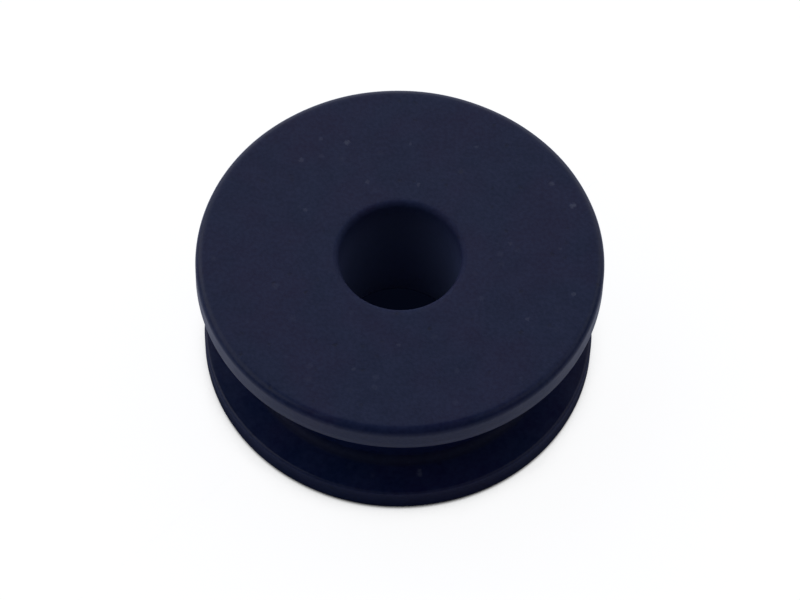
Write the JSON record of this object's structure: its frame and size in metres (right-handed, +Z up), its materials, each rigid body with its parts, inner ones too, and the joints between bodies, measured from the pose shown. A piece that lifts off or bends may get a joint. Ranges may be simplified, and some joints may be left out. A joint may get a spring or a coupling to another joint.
{
  "type": "rubber spool gasket",
  "caption": "Round black rubber gasket of I section: a flange at each end of a thick core, a wide groove around it and a straight bore.",
  "frame": {"origin": "centre of the lower face, on the axis of the bore", "axes": "+Z up along the bore, from the slightly smaller lower flange to the upper one; X and Y are alike"},
  "size_m": [0.02, 0.02, 0.008],
  "materials": {
    "rubber": "moulded blue-black rubber, matt to satin, with a fine grain"
  },
  "bodies": {
    "root": {"rubber_gasket": "rubber"}
  },
  "joints": []
}
